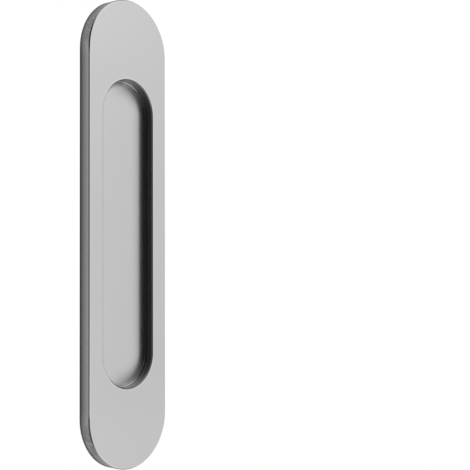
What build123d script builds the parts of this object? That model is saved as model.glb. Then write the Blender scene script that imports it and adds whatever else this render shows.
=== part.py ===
from build123d import *

import os

# Self-adhesive sliding door pull: a slim metal plate with round ends and a long
# finger pocket. A foam tape on its flat back holds it to the door, and a liner
# covers the tape until then.
#
# The pull stands upright, as on a door. +Z runs up its length, the visible face
# looks along -Y, and the origin is the middle of the outermost back face.
# All sizes are in millimetres.

# Plate
plate_length = 150.0  # end to end, along Z
plate_width = 34.0  # side to side, along X
plate_thickness = 4.5  # flat back to visible face
front_edge_chamfer = 0.35  # 45 degrees, on the outer edge of the visible face
back_edge_round = 0.15  # round on the outer edge of the flat back

# Finger pocket
side_land = 6.25  # plate left at each side of the pocket
end_land = 25.75  # plate left above and below the pocket
pocket_floor = 1.2  # metal left behind the pocket
rim_chamfer = 0.35  # 45 degrees, round the pocket's mouth
floor_fillet = 0.3  # fillet between the pocket's wall and its floor

# Foam tape and its liner
tape_inset = 1.0  # plate's edge to the tape's edge
tape_thickness = 0.5
liner_thickness = 0.1

# Outlines that follow from those sizes
pocket_length = plate_length - 2 * end_land
pocket_width = plate_width - 2 * side_land
pocket_depth = plate_thickness - pocket_floor
tape_length = plate_length - 2 * tape_inset
tape_width = plate_width - 2 * tape_inset

# Where each layer starts, going from the origin towards the visible face
liner_back = Plane.XZ
tape_back = liner_back.offset(liner_thickness)
plate_back = tape_back.offset(tape_thickness)
pocket_bottom = plate_back.offset(pocket_floor)

# Metal plate with its finger pocket, one piece
with BuildPart() as pull_body:
    with BuildSketch(plate_back):
        SlotOverall(plate_length, plate_width, rotation=90)
    extrude(amount=plate_thickness)
    chamfer(pull_body.edges().group_by(Axis.Y)[0], length=front_edge_chamfer)
    fillet(pull_body.edges().group_by(Axis.Y)[-1], radius=back_edge_round)

    with BuildSketch(pocket_bottom):
        SlotOverall(pocket_length, pocket_width, rotation=90)
    extrude(amount=pocket_depth, mode=Mode.SUBTRACT)

    # The flat faces, from front to back: visible face, pocket's floor, back
    floor_face = pull_body.faces().filter_by(Axis.Y).sort_by(Axis.Y)[1]
    fillet(floor_face.outer_wire().edges(), radius=floor_fillet)
    visible_face = pull_body.faces().filter_by(Axis.Y).sort_by(Axis.Y)[0]
    chamfer(visible_face.inner_wires()[0].edges(), length=rim_chamfer)

# Foam tape, cut to the plate's outline a little inside its edge
with BuildPart() as adhesive_tape:
    with BuildSketch(tape_back):
        SlotOverall(tape_length, tape_width, rotation=90)
    extrude(amount=tape_thickness)

# Liner, cut together with the tape
with BuildPart() as release_liner:
    with BuildSketch(liner_back):
        SlotOverall(tape_length, tape_width, rotation=90)
    extrude(amount=liner_thickness)

pull_body.part.label = "pull_body"
adhesive_tape.part.label = "adhesive_tape"
release_liner.part.label = "release_liner"

os.makedirs("parts", exist_ok=True)
export_step(pull_body.part, "parts/pull_body.step")
export_step(adhesive_tape.part, "parts/adhesive_tape.step")
export_step(release_liner.part, "parts/release_liner.step")
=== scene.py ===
"""Dresses the self-adhesive sliding door pull and sets up its studio.

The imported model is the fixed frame: metres, +Z up the pull's length, the visible
face looking along -Y and the adhesive back at y = 0.
"""

import math

import bpy
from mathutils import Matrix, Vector


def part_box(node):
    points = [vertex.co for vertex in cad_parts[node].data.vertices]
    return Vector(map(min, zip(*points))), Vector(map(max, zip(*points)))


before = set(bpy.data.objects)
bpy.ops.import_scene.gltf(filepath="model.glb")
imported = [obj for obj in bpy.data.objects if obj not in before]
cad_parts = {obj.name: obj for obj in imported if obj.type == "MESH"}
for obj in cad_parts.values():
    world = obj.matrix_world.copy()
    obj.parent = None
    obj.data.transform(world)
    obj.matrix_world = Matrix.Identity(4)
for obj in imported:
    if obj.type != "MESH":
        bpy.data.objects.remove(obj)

bl_info = {
    "name": "Sliding door pull",
    "version": (1, 0, 0),
    "blender": (4, 5, 0),
    "location": "View3D > Sidebar > Door pull",
    "description": "Finishes a self-adhesive sliding door pull and its studio",
    "category": "Object",
}

MM = 0.001

# The plate's outline and faces, in metres, from which the finishes take their places
PLATE_LOW, PLATE_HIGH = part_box("pull_body")
PLATE_WIDTH = PLATE_HIGH.x - PLATE_LOW.x
PLATE_LENGTH = PLATE_HIGH.z - PLATE_LOW.z
FACE_Y = PLATE_LOW.y
PLATE_BACK_Y = PLATE_HIGH.y
DOOR_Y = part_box("release_liner")[1].y

# The finger pocket isn't a node of its own, so its outline is repeated here
POCKET_WIDTH = 21.5 * MM
POCKET_LENGTH = 98.5 * MM

# A Mix node has a set of sockets for each kind of data, and these are the colour's
MIX_FIRST = 6
MIX_SECOND = 7
MIX_RESULT = 2

BLACK = (0.0, 0.0, 0.0, 1.0)


class Value:
    """A number in a shader: an output socket that Python's operators work on."""

    def __init__(self, maker, socket):
        self.maker = maker
        self.socket = socket

    def _math(self, operation, *others):
        return self.maker.math(operation, self, *others)

    def __add__(self, other):
        return self._math("ADD", other)

    __radd__ = __add__

    def __sub__(self, other):
        return self._math("SUBTRACT", other)

    def __rsub__(self, other):
        return self.maker.math("SUBTRACT", other, self)

    def __mul__(self, other):
        return self._math("MULTIPLY", other)

    __rmul__ = __mul__

    def __truediv__(self, other):
        return self._math("DIVIDE", other)

    def __pow__(self, other):
        return self._math("POWER", other)

    def __neg__(self):
        return self._math("MULTIPLY", -1.0)

    def __abs__(self):
        return self._math("ABSOLUTE")

    def at_least(self, other):
        return self._math("MAXIMUM", other)

    def at_most(self, other):
        return self._math("MINIMUM", other)

    def ramp(self, low, high):
        """0 at low and below, 1 at high and above, smooth between them."""
        return self.maker.node(
            "ShaderNodeMapRange",
            {"interpolation_type": "SMOOTHSTEP"},
            {"Value": self, "From Min": low, "From Max": high},
        )

    def fall(self, low, high):
        """1 at low and below, 0 at high and above, smooth between them."""
        return 1.0 - self.ramp(low, high)

    def band(self, start, full, fading, end):
        """1 from full to fading, 0 before start and after end, smooth between them."""
        return self.ramp(start, full) * self.fall(fading, end)

    def beside(self, name):
        """Another output of the node that this value comes from."""
        return Value(self.maker, self.socket.node.outputs[name])


class Maker:
    """Adds nodes to one node tree, named outputs as Values."""

    def __init__(self, tree):
        self.tree = tree
        tree.nodes.clear()

    def node(self, kind, settings=None, inputs=None, output=0):
        """One node: its settings first, then a value or a link for each input."""
        made = self.tree.nodes.new(kind)
        for name, value in (settings or {}).items():
            if name == "stops":
                self.set_stops(made.color_ramp, value)
            else:
                setattr(made, name, value)
        for key, value in (inputs or {}).items():
            socket = made.inputs[key]
            if isinstance(value, Value):
                self.tree.links.new(value.socket, socket)
            else:
                socket.default_value = value
        if made.outputs:
            return Value(self, made.outputs[output])
        return None

    @staticmethod
    def set_stops(ramp, stops):
        """Grey stops of a colour ramp, as pairs of place and tone, from place 0 to 1."""
        for place, _ in stops[1:-1]:
            ramp.elements.new(place)
        for element, (place, tone) in zip(ramp.elements, stops):
            element.position = place
            element.color = (tone, tone, tone, 1.0)

    def math(self, operation, *values):
        inputs = dict(enumerate(values))
        return self.node("ShaderNodeMath", {"operation": operation}, inputs)

    def vector(self, x, y, z):
        return self.node("ShaderNodeCombineXYZ", None, {"X": x, "Y": y, "Z": z})

    def parts_of(self, vector):
        """A vector's X, Y and Z."""
        x = self.node("ShaderNodeSeparateXYZ", None, {"Vector": vector})
        return x, x.beside("Y"), x.beside("Z")

    def mix(self, factor, first, second):
        """A colour between two colours."""
        inputs = {"Factor": factor, MIX_FIRST: first, MIX_SECOND: second}
        return self.node("ShaderNodeMix", {"data_type": "RGBA"}, inputs, MIX_RESULT)

    def noise(self, vector, scale, detail, roughness):
        inputs = {"Vector": vector, "Scale": scale, "Detail": detail, "Roughness": roughness}
        return self.node("ShaderNodeTexNoise", None, inputs)

    def bump(self, height, strength, distance):
        """Relief: height runs from 0 to 1, and distance is how far 1 stands out."""
        inputs = {"Strength": strength, "Distance": distance, "Height": height}
        return self.node("ShaderNodeBump", None, inputs)

    def millimetres(self):
        """Where the shaded point is in the pull's own frame: X, Y and Z in millimetres."""
        place = self.node("ShaderNodeTexCoord", output="Object")
        return [part / MM for part in self.parts_of(place)]

    def from_outline(self, x, z, length, width):
        """Distance outside a slot outline, in millimetres, and below 0 inside it."""
        radius = width / 2 / MM
        past_straight = (abs(z) - (length / 2 / MM - radius)).at_least(0.0)
        from_axis = (x * x + past_straight * past_straight) ** 0.5
        return from_axis - radius

    def light_path(self, *names):
        """The greatest of the named Light Path outputs, such as Is Camera Ray."""
        path = self.node("ShaderNodeLightPath")
        greatest = path.beside(names[0])
        for name in names[1:]:
            greatest = greatest.at_least(path.beside(name))
        return greatest


def new_material(name):
    """An empty material and the maker for its nodes."""
    material = bpy.data.materials.new(name)
    material.use_nodes = True
    return material, Maker(material.node_tree)


def close_surface(maker, shader):
    maker.node("ShaderNodeOutputMaterial", None, {"Surface": shader})


def finish_surface(maker, colour, roughness, relief, constants=None):
    """Ends a finish in a Principled shader. The constants are set on its own sockets."""
    inputs = {"Base Color": colour, "Roughness": roughness, "Normal": relief}
    inputs.update(constants or {})
    close_surface(maker, maker.node("ShaderNodeBsdfPrincipled", None, inputs))


def rgba(colour, level=1.0):
    """A colour property as a socket's four numbers, made lighter or darker by level."""
    return (colour[0] * level, colour[1] * level, colour[2] * level, 1.0)


# Noise on the metal: its scale to the millimetre, its detail and its roughness. The ground
# lines and the cutter's steps are first drawn out by the grain's pitch and length.
GRAIN = (1.0, 3.0, 0.6)
SPECKLE = (6.0, 2.0, 0.6)
CLOUD = (0.05, 3.0, 0.55)
BELT_MARKS = (2.1, 1.0, 0.5)
CUTTER_STEPS = (1.6, 2.0, 0.6)

# Places on the metal, in millimetres. A HEIGHT is up or down from the pull's middle, a
# DEPTH is from its face, an ACROSS is to the right of its middle, an OUTSIDE is from the
# plate's outline, and a TO_WALL is from the pocket's, the last two below 0 inside it. Two
# numbers are the ends of a ramp, and four are where a band starts, is full, fades and ends.
POCKET_END_HEIGHT = (40.0, 45.0)
FLOOR_TO_WALL = (0.0, 0.1)
FLOOR_DEPTH = (2.6, 3.1)

# Slopes are shares of straight ahead, which is 1 on the face and the pocket's floor
FLAT_SLOPE = (0.8, 0.95)
CHAMFER_SLOPE = (0.5, 0.6, 0.8, 0.9)
CHAMFER_DEPTH = (0.4, 0.6)

# Belt marks on the walls of the round ends lean over as they go back along the wall, and
# are drawn out that way
BELT_LEAN = 0.7
BELT_STRETCH = 0.3
BELT_FADE_IN = 8.0
BELT_DEPTH = (0.25, 0.5)

# The plate's outer edge, smoothed by hands
SMOOTHED_DEPTH = (0.1, 0.6)
SMOOTHED_OUTSIDE = (-0.7, -0.2)

# Painted shade in the pocket's corner, and the thinner painted shade beside it on the
# floor at the left of the ends
CORNER_SHADE_HEIGHT = (45.2, 49.0)
CORNER_SHADE_TO_WALL = (-0.7, -0.2, 0.2, 0.5)
CORNER_SHADE_DEPTH = (2.4, 3.1)
CORNER_SHADE_THINNEST = 0.8
CORNER_SHADE_SPOTS = 0.4
FLOOR_END_SHADE_TO_WALL = (-2.2, -0.6)
FLOOR_END_SHADE_FADING = (-0.5, 0.1)
FLOOR_END_SHADE_FADED = 0.6
FLOOR_END_SHADE_ACROSS = (-8.0, -4.5, -0.5, 2.5)
FLOOR_END_SHADE_UPWARDS = (-10.0, 10.0)
FLOOR_END_SHADE_LOWER_END = 0.15
FLOOR_END_SHADE_UPPER_MORE = 0.3

# A painted highlight on the corner at the right of the ends
CORNER_HIGHLIGHT_TO_WALL = (-1.5, -0.5, 0.0, 0.1)
CORNER_HIGHLIGHT_DEPTH = (2.9, 3.2)
RIGHT_SIDE_ACROSS = (-1.5, 1.5)

# The pocket's wall, with the tones of the cutter's steps and the painted light on its
# round ends
POCKET_WALL_TO_WALL = (0.0, 0.2)
POCKET_WALL_DEPTH = (0.3, 0.6)
STEP_TONE = 0.8
WALL_END_PAINTED_LIGHT = 0.35

# The pocket's floor: dull at its ends, and painted shade towards its wall, with what the
# ends have more of that, and the share of it that is spared where the corner has the painted
# highlight
DULL_TO_WALL = (-8.0, -1.0)
FLOOR_SHADE_TO_WALL = (-7.0, 0.0)
FLOOR_SHADE_ACROSS = (-6.0, 4.0)
FLOOR_SHADE_SIDES = 0.3
FLOOR_SHADE_ENDS_MORE = 0.24
SPARED_TO_WALL = (-1.7, -0.7)
SPARED_SHARE = 0.7

# Painted shade on the front edges' chamfers: heavier where the plate's round ends start and
# at the pocket's mouth, with a painted highlight along one line, and softer at the left of
# the mouth's ends
HEAVY_EDGE_SHADE_HEIGHT = (55.5, 58.5, 63.0, 70.0)
HEAVY_EDGE_SHADE_MORE = 0.45
MOUTH_EDGE_SHADE_OUTSIDE = (-3.0, -1.0)
MOUTH_EDGE_SHADE_MORE = 0.17
DARKEST_EDGE_SHADE = 1.5
EDGE_HIGHLIGHT_OUTSIDE = (-0.5, -0.4, -0.3, -0.15)
SOFT_MOUTH_TO_WALL = (0.8, 1.2)
SOFT_MOUTH_ACROSS = (-8.0, -6.0, -4.0, -2.0)
SOFT_MOUTH_SHARE = 0.8

# Painted highlights and a painted shade line on the face, and painted light on its ends
FACE_EDGE_HIGHLIGHT_OUTSIDE = (-0.9, -0.6)
FACE_EDGE_HIGHLIGHT_ACROSS = (0.0, 8.0)
MOUTH_LINE_TO_WALL = (0.3, 0.4, 0.6, 1.0)
MOUTH_LINE_ACROSS = (-4.0, 4.0)
LIGHTER_HEIGHT = (45.0, 72.0)

# What each mark adds to the tone, which goes from -0.5, darkest, to 0.5, lightest
GRAIN_TONE = 0.025
SMOOTHED_TONE = 0.015
BELT_TONE = 3.2
CORNER_HIGHLIGHT_TONE = 0.15
EDGE_HIGHLIGHT_TONE = 0.1
LIGHTER_TONE = 0.03
FACE_EDGE_HIGHLIGHT_TONE = 0.09
MOUTH_LINE_DARK = -0.13
MOUTH_LINE_BRIGHT = 0.12

# The metal's darkest and lightest tone and the painted corner shade, as shares of the bare
# colour
DARKEST = 0.6
LIGHTEST = 1.4
CORNER_SHADE_LEVEL = 0.05

# What each mark adds to the metal's roughness
SPECKLE_ROUGHNESS = 0.06
CLOUD_ROUGHNESS = 0.04
SMOOTHED_ROUGHNESS = -0.04
DULL_ROUGHNESS = 0.12

# Relief of the ground metal, of which the grain makes the larger part
METAL_RELIEF = 0.02 * MM
GRAIN_SHARE = 0.7


class MetalSpot:
    """Where a point of the metal plate lies, and on what kind of surface: 1 where it is on
    one, and 0 where it isn't."""

    def __init__(self, maker):
        self.x, self.y, self.z = maker.millimetres()
        self.place = maker.vector(self.x, self.y, self.z)
        self.height = abs(self.z)
        self.depth = self.y - FACE_Y / MM
        self.outside = maker.from_outline(self.x, self.z, PLATE_LENGTH, PLATE_WIDTH)
        self.to_wall = maker.from_outline(self.x, self.z, POCKET_LENGTH, POCKET_WIDTH)

        normal = maker.node("ShaderNodeTexCoord", output="Normal")
        self.slope = abs(maker.parts_of(normal)[1])
        self.flat = self.slope.ramp(*FLAT_SLOPE)
        self.upright = 1.0 - self.flat

        self.pocket_end = self.height.ramp(*POCKET_END_HEIGHT)
        self.right_side = self.x.ramp(*RIGHT_SIDE_ACROSS)
        self.on_floor = self.to_wall.fall(*FLOOR_TO_WALL) * self.depth.ramp(*FLOOR_DEPTH)


def ground_grain(maker, spot, props):
    """Ground lines, up and down the flat faces and along the outline on the walls."""
    pitch = props.grain_pitch / MM
    along = props.grain_length / MM
    on_faces = maker.vector(spot.x / pitch, 0.0, spot.z / along)
    on_walls = maker.vector(spot.x / along, spot.y / pitch, spot.z / along)
    face_grain = maker.noise(on_faces, *GRAIN)
    wall_grain = maker.noise(on_walls, *GRAIN)
    return wall_grain + spot.flat * (face_grain - wall_grain)


def belt_marks(maker, spot, props):
    """Marks across the walls at the round ends, where the plate was turned by hand."""
    lean = spot.y * BELT_LEAN
    leaning = maker.vector(spot.x + lean, spot.y * BELT_STRETCH, spot.z - lean)
    marks = maker.noise(leaning, *BELT_MARKS) - 0.5
    start = props.belt_from / MM
    round_end = spot.height.ramp(start, start + BELT_FADE_IN)
    return marks * spot.upright * round_end * spot.depth.ramp(*BELT_DEPTH)


def smoothed_edge(spot):
    """The plate's outer edge, which hands have smoothed."""
    return spot.depth.fall(*SMOOTHED_DEPTH) * spot.outside.ramp(*SMOOTHED_OUTSIDE)


def painted_corner_shade(spot, speckle):
    """Painted shade in the pocket's corner, along its straight sides, fading out at the ends.
    """
    corner = spot.to_wall.band(*CORNER_SHADE_TO_WALL) * spot.depth.ramp(*CORNER_SHADE_DEPTH)
    spotted = (CORNER_SHADE_THINNEST + speckle * CORNER_SHADE_SPOTS).at_most(1.0)
    return corner * spot.height.fall(*CORNER_SHADE_HEIGHT) * spotted


def painted_floor_end_shade(spot):
    """Thinner painted shade on the floor at the left of the pocket's ends, more in the upper
    one.
    """
    fading = 1.0 - spot.to_wall.ramp(*FLOOR_END_SHADE_FADING) * FLOOR_END_SHADE_FADED
    painted_shade = spot.to_wall.ramp(*FLOOR_END_SHADE_TO_WALL) * fading * spot.on_floor
    upper_end = spot.z.ramp(*FLOOR_END_SHADE_UPWARDS) * FLOOR_END_SHADE_UPPER_MORE
    painted_shade = painted_shade * spot.x.band(*FLOOR_END_SHADE_ACROSS)
    return painted_shade * (FLOOR_END_SHADE_LOWER_END + upper_end)


def painted_corner_highlight(spot):
    """A painted highlight on the corner at the right of the pocket's ends."""
    corner = spot.to_wall.band(*CORNER_HIGHLIGHT_TO_WALL) * spot.depth.ramp(*CORNER_HIGHLIGHT_DEPTH)
    return corner * spot.pocket_end * spot.right_side


def steps_and_painted_wall_light(maker, spot, props):
    """Steps in which the cutter went round the pocket's wall, and painted light that makes
    the wall lighter at its ends.
    """
    along = props.grain_length / MM
    on_walls = maker.vector(spot.x / along, spot.y, spot.z / along)
    steps = (maker.noise(on_walls, *CUTTER_STEPS) - 0.5) * STEP_TONE
    wall = spot.to_wall.fall(*POCKET_WALL_TO_WALL) * spot.depth.ramp(*POCKET_WALL_DEPTH)
    return (steps + spot.pocket_end * WALL_END_PAINTED_LIGHT) * wall * spot.upright


def dull_floor(spot):
    """The ends of the pocket's floor, which the cutter left duller."""
    return spot.to_wall.ramp(*DULL_TO_WALL) * spot.on_floor * spot.pocket_end


def painted_floor_shade(spot):
    """Painted shade on the pocket's floor towards its wall, less in the corner that has the
    painted highlight."""
    edge = spot.to_wall.ramp(*FLOOR_SHADE_TO_WALL) * spot.on_floor
    spared = spot.pocket_end * spot.right_side * spot.to_wall.ramp(*SPARED_TO_WALL)
    edge = edge * (1.0 - spared * SPARED_SHARE) * spot.x.ramp(*FLOOR_SHADE_ACROSS)
    return edge * (FLOOR_SHADE_SIDES + spot.pocket_end * FLOOR_SHADE_ENDS_MORE)


def edge_shade_and_highlight(spot):
    """Painted shade on the front edges' chamfers, darker than the ground face, most of all
    where the edges turn into the round ends, and least at the left of the pocket's ends. The
    second value is a painted highlight along the plate's own edge."""
    chamfer = spot.slope.band(*CHAMFER_SLOPE) * spot.depth.fall(*CHAMFER_DEPTH)
    heavy = spot.height.band(*HEAVY_EDGE_SHADE_HEIGHT)
    edge_highlight = spot.outside.band(*EDGE_HIGHLIGHT_OUTSIDE) * (1.0 - heavy)
    mouth = spot.outside.fall(*MOUTH_EDGE_SHADE_OUTSIDE)
    cut = chamfer * (1.0 + mouth * MOUTH_EDGE_SHADE_MORE) * (1.0 + heavy * HEAVY_EDGE_SHADE_MORE)
    soft_mouth = spot.to_wall.fall(*SOFT_MOUTH_TO_WALL) * spot.pocket_end
    soft_mouth = soft_mouth * spot.x.band(*SOFT_MOUTH_ACROSS)
    cut = cut * (1.0 - edge_highlight) * (1.0 - soft_mouth * SOFT_MOUTH_SHARE)
    return cut.at_most(DARKEST_EDGE_SHADE), edge_highlight


def painted_face_light(spot):
    """Tone of the face alone: a painted highlight along its left edge and round the pocket's
    mouth, but painted shade down the mouth's left side, and painted light at its ends."""
    face_edge_highlight = spot.outside.ramp(*FACE_EDGE_HIGHLIGHT_OUTSIDE) * spot.x.fall(*FACE_EDGE_HIGHLIGHT_ACROSS)
    bright_part = spot.x.ramp(*MOUTH_LINE_ACROSS).at_least(spot.pocket_end)
    mouth_tone = bright_part * (MOUTH_LINE_BRIGHT - MOUTH_LINE_DARK) + MOUTH_LINE_DARK
    painted_mouth_line = spot.to_wall.band(*MOUTH_LINE_TO_WALL) * mouth_tone
    painted_lighter_ends = spot.height.ramp(*LIGHTER_HEIGHT) * LIGHTER_TONE
    return (painted_lighter_ends + face_edge_highlight * FACE_EDGE_HIGHLIGHT_TONE + painted_mouth_line) * spot.flat


def satin_metal(props):
    """Finely ground satin metal, with the marks that its making and its use have left, and
    painted shade and highlights.
    """
    material, maker = new_material("satin_metal_ground")
    spot = MetalSpot(maker)
    grain = ground_grain(maker, spot, props)
    speckle = maker.noise(spot.place, *SPECKLE)
    cloud = maker.noise(spot.place, *CLOUD)
    smoothed = smoothed_edge(spot)
    cut, edge_highlight = edge_shade_and_highlight(spot)

    tone = (cloud - 0.5) * props.cloudiness + (grain - 0.5) * GRAIN_TONE
    tone = tone + smoothed * SMOOTHED_TONE + belt_marks(maker, spot, props) * BELT_TONE
    # Cutter's steps, painted light on the pocket wall's ends and a painted highlight in its
    # corner
    tone = tone + steps_and_painted_wall_light(maker, spot, props) + painted_corner_highlight(spot) * CORNER_HIGHLIGHT_TONE
    # A painted highlight along the plate's edge, and the face's painted highlights, shade and
    # light
    tone = tone + edge_highlight * EDGE_HIGHLIGHT_TONE + painted_face_light(spot)
    colour = maker.mix(
        (tone + 0.5).at_least(0.0).at_most(1.0),
        rgba(props.colour, DARKEST),
        rgba(props.colour, LIGHTEST),
    )
    # Painted shade darkens the chamfers and the pocket's floor towards its wall
    level = (1.0 - cut * props.edge_shade) * (1.0 - painted_floor_shade(spot))
    # Painted shade on the floor at the left of the pocket's ends
    level = level * (1.0 - painted_floor_end_shade(spot))
    colour = maker.mix(1.0 - level, colour, BLACK)
    # Painted shade in the pocket's corner, mixed in as a dark colour
    painted_shade = painted_corner_shade(spot, speckle) * props.painted_shade
    colour = maker.mix(painted_shade, colour, rgba(props.colour, CORNER_SHADE_LEVEL))

    roughness = props.wall_roughness + spot.flat * (props.roughness - props.wall_roughness)
    roughness = roughness + (speckle - 0.5) * SPECKLE_ROUGHNESS
    roughness = roughness + (cloud - 0.5) * CLOUD_ROUGHNESS + smoothed * SMOOTHED_ROUGHNESS
    roughness = roughness + dull_floor(spot) * DULL_ROUGHNESS

    height = grain * GRAIN_SHARE + speckle * (1.0 - GRAIN_SHARE)
    relief = maker.bump(height, props.grain_strength, METAL_RELIEF)
    finish_surface(maker, colour, roughness, relief, {"Metallic": 1.0})
    return material


# The foam: its cells to the millimetre, the noise of its cloudiness, the relief of its
# cells, its gloss, and its darkest and lightest tone as shares of its colour
FOAM_CELLS = 9.0
FOAM_CLOUD = (0.3, 3.0, 0.5)
FOAM_CELL_TONE = 0.8
FOAM_CLOUD_TONE = 0.4
FOAM_DARKEST = 0.7
FOAM_LIGHTEST = 1.25
FOAM_RELIEF = 0.05 * MM
FOAM_RELIEF_STRENGTH = 0.6
FOAM_ROUGHNESS = 0.7
FOAM_CLOUD_ROUGHNESS = 0.2
FOAM_GLOSS = 0.35


def foam_tape(props):
    """Closed-cell foam tape: dark, matt, with the pores that a cut edge shows."""
    material, maker = new_material("foam_tape_cells")
    place = maker.vector(*maker.millimetres())
    cells = maker.node(
        "ShaderNodeTexVoronoi", {"feature": "F1"}, {"Vector": place, "Scale": FOAM_CELLS}
    )
    cloud = maker.noise(place, *FOAM_CLOUD)
    colour = maker.mix(
        (cells * FOAM_CELL_TONE + cloud * FOAM_CLOUD_TONE).at_most(1.0),
        rgba(props.tape_colour, FOAM_DARKEST),
        rgba(props.tape_colour, FOAM_LIGHTEST),
    )
    roughness = FOAM_ROUGHNESS + cloud * FOAM_CLOUD_ROUGHNESS
    relief = maker.bump(cells, FOAM_RELIEF_STRENGTH, FOAM_RELIEF)
    gloss = {"Specular IOR Level": FOAM_GLOSS}
    finish_surface(maker, colour, roughness, relief, gloss)
    return material


# The liner's paper: the noise of its fibres, which lie up and down, and of its cockle, the
# shares of both in its tone, its darkest and lightest tone, its relief and its roughness
FIBRES = (0.9, 6.0, 0.7)
FIBRE_STRETCH = 3.0
COCKLE = (0.09, 2.0, 0.4)
COCKLE_STRETCH = 0.6
FIBRE_SHARE = 0.6
PAPER_CONTRAST = (0.25, 0.75)
PAPER_DARKEST = 0.9
PAPER_LIGHTEST = 1.04
PAPER_RELIEF = 0.4 * MM
PAPER_RELIEF_STRENGTH = 0.5
FIBRE_RELIEF = 0.02
PAPER_ROUGHNESS = 0.38
FIBRE_ROUGHNESS = 0.12


def liner_paper(props):
    """Siliconed paper: smooth, slightly glossy, with short fibres and a faint cockle."""
    material, maker = new_material("liner_siliconed_paper")
    x, y, z = maker.millimetres()
    fibres = maker.noise(maker.vector(x * FIBRE_STRETCH, y, z), *FIBRES)
    cockle = maker.noise(maker.vector(x, y, z * COCKLE_STRETCH), *COCKLE)
    tone = fibres * FIBRE_SHARE + cockle * (1.0 - FIBRE_SHARE)
    colour = maker.mix(
        tone.ramp(*PAPER_CONTRAST),
        rgba(props.liner_colour, PAPER_DARKEST),
        rgba(props.liner_colour, PAPER_LIGHTEST),
    )
    roughness = PAPER_ROUGHNESS + fibres * FIBRE_ROUGHNESS
    height = cockle + fibres * FIBRE_RELIEF
    relief = maker.bump(height, PAPER_RELIEF_STRENGTH, PAPER_RELIEF)
    finish_surface(maker, colour, roughness, relief)
    return material


def assign(node_name, material):
    """Gives a CAD node its finish, in the slot that it came with."""
    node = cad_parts[node_name]
    if not node.material_slots:
        raise RuntimeError(node_name + " has no material slot")
    for slot in node.material_slots:
        slot.material = material


def colour_property(name, description, default):
    return bpy.props.FloatVectorProperty(
        name=name,
        description=description,
        default=default,
        subtype="COLOR",
        min=0.0,
        max=1.0,
    )


def share_property(name, description, default, least=0.0):
    return bpy.props.FloatProperty(
        name=name,
        description=description,
        default=default,
        min=least,
        max=1.0,
        subtype="FACTOR",
    )


def length_property(name, description, default):
    return bpy.props.FloatProperty(
        name=name,
        description=description,
        default=default,
        min=0.0,
        unit="LENGTH",
        precision=6,
    )


def angle_property(name, description, degrees):
    return bpy.props.FloatProperty(
        name=name,
        description=description,
        default=math.radians(degrees),
        subtype="ANGLE",
    )


def brightness_property(name, description, default):
    return bpy.props.FloatProperty(
        name=name,
        description=description,
        default=default,
        min=0.0,
    )


# A metal smoother than this would mirror the studio
SMOOTHEST = 0.05


class DOORPULL_PG_metal(bpy.types.PropertyGroup):
    """Finish of the metal plate."""

    colour: colour_property("Colour", "Colour of the bare metal", (0.515, 0.515, 0.518))
    roughness: share_property(
        "Roughness", "How dull the face and the pocket's floor are", 0.25, SMOOTHEST
    )
    wall_roughness: share_property(
        "Wall roughness", "How dull the walls and edges are", 0.26, SMOOTHEST
    )
    # How dark the painted shade in the pocket's corner is
    painted_shade: share_property("Grime", "How dark the grime in the pocket's corner is", 0.93)
    # How much darker the chamfers are painted, as painted shade
    edge_shade: share_property(
        "Cut edges", "How much darker the chamfers are than the face", 0.6
    )
    belt_from: length_property(
        "Belt marks from",
        "Height above or below the middle where the belt marks start",
        58.0 * MM,
    )
    cloudiness: share_property("Cloudiness", "How much the tone drifts over the plate", 0.05)
    grain_pitch: length_property("Grain pitch", "Distance between two ground lines", 0.12 * MM)
    grain_length: length_property("Grain length", "How far a ground line runs", 9.0 * MM)
    grain_strength: share_property("Grain strength", "How deep the ground lines look", 0.25)


class DOORPULL_PG_backing(bpy.types.PropertyGroup):
    """Colours of the foam tape and its liner."""

    tape_colour: colour_property("Tape", "Colour of the foam tape", (0.05, 0.05, 0.055))
    liner_colour: colour_property("Liner", "Colour of the liner", (0.8, 0.78, 0.72))


class DOORPULL_PG_studio(bpy.types.PropertyGroup):
    """Camera, light and floor."""

    camera_azimuth: angle_property(
        "Camera azimuth", "How far to the left of straight ahead the camera stands", 43.55
    )
    camera_elevation: angle_property(
        "Camera elevation", "How far above the pull's middle the camera looks from", -1.371
    )
    camera_distance: length_property(
        "Camera distance", "Camera to the middle of the plate's back", 0.35711
    )
    lens: bpy.props.FloatProperty(
        name="Lens",
        description="Focal length on a sensor 36 mm wide",
        default=84.782,
        min=1.0,
        unit="CAMERA",
    )
    floor_drop: length_property("Floor below the pull", "Pull's lower end to the floor", 0.2)
    floor_colour: colour_property("Floor", "Colour of the floor", (0.86, 0.86, 0.86))
    daylight: brightness_property(
        "Room light", "Strength of the even light from all round", 0.8
    )
    top_light: bpy.props.FloatProperty(
        name="Top light",
        description="Power of the large soft lamp above and in front",
        default=6.0,
        min=0.0,
        unit="POWER",
    )
    dark_end_tone: brightness_property(
        "Dark end", "How bright the room's dark end shows in the metal", 0.42
    )
    window_tone: brightness_property(
        "Window", "How bright the room's window shows in the metal", 1.5
    )


# The photograph's frame, and where it has the middle of the plate's back, counted from its
# top left corner
PHOTO_SIDE_PX = 470
PULL_MIDDLE_PX = (118.97, 233.921)
SENSOR_WIDTH_MM = 36.0
NEAR_CLIP = 0.01


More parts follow.
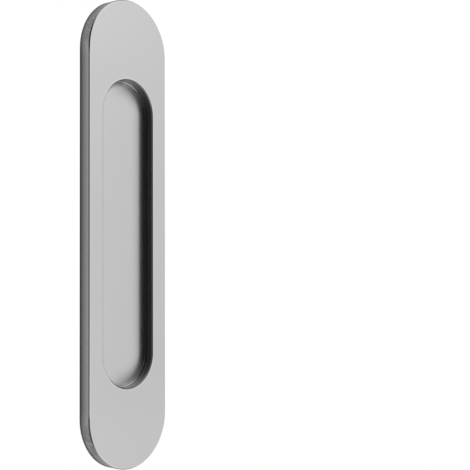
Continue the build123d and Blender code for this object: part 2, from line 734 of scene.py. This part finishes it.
def place_camera(props):
    """The photograph's camera, shifted so that the pull stands where it does there."""
    azimuth = props.camera_azimuth
    elevation = props.camera_elevation
    back = Vector(
        (
            -math.sin(azimuth) * math.cos(elevation),
            -math.cos(azimuth) * math.cos(elevation),
            math.sin(elevation),
        )
    )
    data = bpy.data.cameras.new("photo_camera")
    data.lens = props.lens
    data.sensor_width = SENSOR_WIDTH_MM
    data.shift_x = 0.5 - PULL_MIDDLE_PX[0] / PHOTO_SIDE_PX
    data.shift_y = PULL_MIDDLE_PX[1] / PHOTO_SIDE_PX - 0.5
    data.clip_start = NEAR_CLIP
    camera = bpy.data.objects.new("photo_camera", data)
    camera.location = Vector((0.0, PLATE_BACK_Y, 0.0)) + back * props.camera_distance
    camera.rotation_mode = "QUATERNION"
    camera.rotation_quaternion = (-back).to_track_quat("-Z", "Y")
    bpy.context.scene.collection.objects.link(camera)
    bpy.context.scene.camera = camera


# The room that the metal shows. An AZIMUTH is in degrees to the right of straight ahead, a
# HEIGHT in degrees above the level, and a level of 1 is white. The window is a strip with
# a wider pane in its upper part.
STRIP_AZIMUTH = (-2.0, 10.0, 22.0, 40.0)
PANE_AZIMUTH = (-20.0, 5.0, 24.0, 54.0)
PANE_HEIGHT = (3.0, 14.0)
WINDOW_HEIGHT = (-40.0, -20.0, 28.0, 48.0)
DARK_END_AZIMUTH = (-92.0, -74.0, -18.0, -4.0)
DARK_END_HEIGHT = (-17.0, -9.0, 30.0, 60.0)
OVERHEAD_HEIGHT = (50.0, 66.0)
OVERHEAD_MORE = 0.25

# The same room as light shows it that comes off the metal twice
TWICE_LEFT_LEVEL = 0.05
TWICE_LEFT_AZIMUTH = (-45.0, 0.0)
TWICE_LEFT_MORE = 0.16
TWICE_RIGHT_AZIMUTH = (0.0, 45.0)
TWICE_RIGHT_MORE = 0.46
TWICE_UPPER_AZIMUTH = (-20.0, 20.0)
TWICE_UPPER_HEIGHT = (2.0, 30.0)
TWICE_UPPER_MORE = 0.25


def room_in_metal(maker, right, into, up, props, straight_depth):
    """How bright the room shows in the metal, towards any point or direction.

    It is white, with a brighter window in front and, at the left, a dark end that doesn't
    reach far down. Light that comes off the metal twice, as between the pocket's walls
    and its floor, comes out of the pocket at a low angle, and there the room is dimmer,
    most of all at the left. straight_depth is the Ray Depth of light that comes off the
    metal only once: it is 2 where the ray ends in the world and 1 where it ends on a
    surface.
    """
    to_degrees = 180.0 / math.pi
    azimuth = maker.math("ARCTAN2", right, -into) * to_degrees
    level = (right * right + into * into) ** 0.5
    height = maker.math("ARCTAN2", up, level) * to_degrees

    pane = azimuth.band(*PANE_AZIMUTH) * height.ramp(*PANE_HEIGHT)
    window = azimuth.band(*STRIP_AZIMUTH).at_least(pane) * height.band(*WINDOW_HEIGHT)
    once = 1.0 + window * (props.window_tone - 1.0)
    dark_end = azimuth.band(*DARK_END_AZIMUTH) * height.band(*DARK_END_HEIGHT)
    once = once - dark_end * (once - props.dark_end_tone)
    once = once + abs(height).ramp(*OVERHEAD_HEIGHT) * OVERHEAD_MORE

    twice = TWICE_LEFT_LEVEL + azimuth.ramp(*TWICE_LEFT_AZIMUTH) * TWICE_LEFT_MORE
    twice = twice + azimuth.ramp(*TWICE_RIGHT_AZIMUTH) * TWICE_RIGHT_MORE
    upper = azimuth.ramp(*TWICE_UPPER_AZIMUTH) * height.ramp(*TWICE_UPPER_HEIGHT)
    twice = twice + upper * TWICE_UPPER_MORE

    again = maker.light_path("Ray Depth").ramp(straight_depth, straight_depth + 1.0)
    return once + again * (twice - once)


def white_room(props):
    """A white room with plain even light."""
    world = bpy.data.worlds.new("white_room")
    world.use_nodes = True
    world.cycles.sampling_method = "NONE"
    maker = Maker(world.node_tree)
    direction = maker.node("ShaderNodeTexCoord", output="Generated")
    right, into, up = maker.parts_of(direction)
    room = room_in_metal(maker, right, into, up, props, straight_depth=2.0)
    seen = maker.light_path("Is Camera Ray", "Is Transmission Ray")
    plain = props.daylight + seen * (1.0 - props.daylight)
    tone = plain + maker.light_path("Is Glossy Ray") * (room - plain)
    light = maker.node("ShaderNodeBackground", None, {"Color": tone})
    maker.node("ShaderNodeOutputWorld", None, {"Surface": light})
    bpy.context.scene.world = world


def stage_piece(name, corners, faces, material):
    """A piece of the studio, which isn't part of the pull."""
    mesh = bpy.data.meshes.new(name)
    mesh.from_pydata(corners, [], faces)
    mesh.materials.append(material)
    material.cycles.emission_sampling = "NONE"
    made = bpy.data.objects.new(name, mesh)
    bpy.context.scene.collection.objects.link(made)
    return made


# Half the floor's side, in metres, the distances from the pull over which the floor runs
# out into white, in millimetres, and how white it is before that
FLOOR_REACH = 6.0
FLOOR_RUNS_OUT = (200.0, 900.0)
FLOOR_WHITE_NEAR = 0.6


def pale_floor(props):
    """A pale floor that keeps the shadow near the pull and runs out into white."""
    material, maker = new_material("pale_floor")
    x, y, z = maker.millimetres()
    away = (x * x + y * y) ** 0.5
    room = room_in_metal(maker, x, y, z, props, straight_depth=1.0)
    glossy = maker.light_path("Is Glossy Ray")
    seen = maker.light_path("Is Camera Ray", "Is Transmission Ray")
    white = maker.node("ShaderNodeEmission", None, {"Color": 1.0 + glossy * (room - 1.0)})
    matt = maker.node("ShaderNodeBsdfDiffuse", None, {"Color": rgba(props.floor_colour)})
    far = away.ramp(*FLOOR_RUNS_OUT) * (1.0 - FLOOR_WHITE_NEAR)
    share = glossy.at_least(seen * (FLOOR_WHITE_NEAR + far))
    both = maker.node("ShaderNodeMixShader", None, {0: share, 1: matt, 2: white})
    close_surface(maker, both)
    level = PLATE_LOW.z - props.floor_drop
    signs = ((-1, -1), (1, -1), (1, 1), (-1, 1))
    corners = [(right * FLOOR_REACH, into * FLOOR_REACH, level) for right, into in signs]
    stage_piece("floor", corners, [(0, 1, 2, 3)], material)


def slot_outline(length, width, y, steps=32):
    """Points round an upright slot, counter-clockwise as seen from the front."""
    radius = width / 2
    points = []
    for end in (1, -1):
        for step in range(steps + 1):
            turn = math.pi * step / steps
            x = end * radius * math.cos(turn)
            z = end * (length / 2 - radius + radius * math.sin(turn))
            points.append((x, y, z))
    return points


# Tones of the door card's glow, darker near the plate as a painted shadow, at shares of the
# way from the plate's outline to where the tone no longer changes, CARD_REACH_MM away,
# and nearer round the ends
CARD_TONES = [
    (0.0, 0.01),
    (0.13, 0.04),
    (0.2, 0.1),
    (0.3, 0.24),
    (0.45, 0.36),
    (0.65, 0.48),
    (0.75, 0.6),
    (1.0, 0.66),
]
CARD_REACH_MM = 6.0
CARD_END_HEIGHT = (54.0, 76.0)
CARD_END_NEARER = 1.5

# Round the ends, the card's glow keeps a painted shade however far from the plate
CARD_SHADE_HEIGHT = (56.0, 64.0, 74.0, 79.0)
CARD_SHADE = 0.5

# How far the card goes in behind the plate's edge, and how much larger it is, in metres
CARD_OVERLAP = 0.1 * MM
CARD_LARGER = 0.8


def door_card():
    """A grey card in the door's plane that glows, all round the pull, which only metal shows.
    A shadow is painted into its glow: it is darker close to the pull, as a door is in the
    shade of what is stuck on it."""
    material, maker = new_material("door_card")
    x, _, z = maker.millimetres()
    away = maker.from_outline(x, z, PLATE_LENGTH, PLATE_WIDTH)
    nearer = 1.0 + abs(z).ramp(*CARD_END_HEIGHT) * CARD_END_NEARER
    shade = abs(z).band(*CARD_SHADE_HEIGHT) * CARD_SHADE
    place = (away * nearer / CARD_REACH_MM).at_most(1.0 - shade)
    tone = maker.node("ShaderNodeValToRGB", {"stops": CARD_TONES}, {"Fac": place})
    close_surface(maker, maker.node("ShaderNodeEmission", None, {"Color": tone}))

    inner = slot_outline(PLATE_LENGTH - CARD_OVERLAP, PLATE_WIDTH - CARD_OVERLAP, DOOR_Y)
    outer = slot_outline(PLATE_LENGTH + CARD_LARGER, PLATE_WIDTH + CARD_LARGER, DOOR_Y)
    count = len(inner)
    faces = []
    for i in range(count):
        after = (i + 1) % count
        faces.append((i, after, count + after, count + i))
    card = stage_piece("door_card", inner + outer, faces, material)
    card.visible_camera = False
    card.visible_diffuse = False
    card.visible_transmission = False
    card.visible_volume_scatter = False
    card.visible_shadow = False


TOP_LAMP_PLACE = Vector((0.15, -0.55, 0.8))
TOP_LAMP_WIDTH = 0.9
TOP_LAMP_LENGTH = 0.6


def top_lamp(props):
    """A large soft lamp above and in front, turned to the pull."""
    data = bpy.data.lights.new("top_lamp", "AREA")
    data.shape = "RECTANGLE"
    data.size = TOP_LAMP_WIDTH
    data.size_y = TOP_LAMP_LENGTH
    data.energy = props.top_light
    lamp = bpy.data.objects.new("top_lamp", data)
    lamp.visible_glossy = False
    lamp.location = TOP_LAMP_PLACE
    lamp.rotation_mode = "QUATERNION"
    lamp.rotation_quaternion = (-TOP_LAMP_PLACE).to_track_quat("-Z", "Y")
    bpy.context.scene.collection.objects.link(lamp)


class DOORPULL_OT_plate(bpy.types.Operator):
    """Gives the metal plate its satin finish"""

    bl_idname = "doorpull.plate"
    bl_label = "Metal plate"

    def execute(self, context):
        assign("pull_body", satin_metal(context.scene.doorpull_metal))
        return {"FINISHED"}


class DOORPULL_OT_backing(bpy.types.Operator):
    """Gives the foam tape and its liner their finishes"""

    bl_idname = "doorpull.backing"
    bl_label = "Tape and liner"

    def execute(self, context):
        assign("adhesive_tape", foam_tape(context.scene.doorpull_backing))
        assign("release_liner", liner_paper(context.scene.doorpull_backing))
        return {"FINISHED"}


class DOORPULL_OT_studio(bpy.types.Operator):
    """Sets up the camera, the light and the floor"""

    bl_idname = "doorpull.studio"
    bl_label = "Studio"

    def execute(self, context):
        props = context.scene.doorpull_studio
        context.scene.view_settings.view_transform = "Standard"
        place_camera(props)
        white_room(props)
        pale_floor(props)
        door_card()
        top_lamp(props)
        return {"FINISHED"}


class DOORPULL_PT_sidebar(bpy.types.Panel):
    """Lists the pull's finishes and its studio"""

    bl_idname = "DOORPULL_PT_sidebar"
    bl_label = "Door pull"
    bl_space_type = "VIEW_3D"
    bl_region_type = "UI"
    bl_category = "Door pull"

    def draw(self, context):
        groups = (
            (context.scene.doorpull_metal, DOORPULL_OT_plate),
            (context.scene.doorpull_backing, DOORPULL_OT_backing),
            (context.scene.doorpull_studio, DOORPULL_OT_studio),
        )
        for group, operator in groups:
            box = self.layout.box()
            for name in group.__annotations__:
                box.prop(group, name)
            box.operator(operator.bl_idname)


CLASSES = (
    DOORPULL_PG_metal,
    DOORPULL_PG_backing,
    DOORPULL_PG_studio,
    DOORPULL_OT_plate,
    DOORPULL_OT_backing,
    DOORPULL_OT_studio,
    DOORPULL_PT_sidebar,
)


def register():
    for cls in CLASSES:
        bpy.utils.register_class(cls)
    scene = bpy.types.Scene
    scene.doorpull_metal = bpy.props.PointerProperty(type=DOORPULL_PG_metal)
    scene.doorpull_backing = bpy.props.PointerProperty(type=DOORPULL_PG_backing)
    scene.doorpull_studio = bpy.props.PointerProperty(type=DOORPULL_PG_studio)


def unregister():
    del bpy.types.Scene.doorpull_studio
    del bpy.types.Scene.doorpull_backing
    del bpy.types.Scene.doorpull_metal
    for cls in reversed(CLASSES):
        bpy.utils.unregister_class(cls)


def main():
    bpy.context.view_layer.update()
    register()
    bpy.ops.doorpull.plate()
    bpy.ops.doorpull.backing()
    bpy.ops.doorpull.studio()


if __name__ == "__main__":
    main()
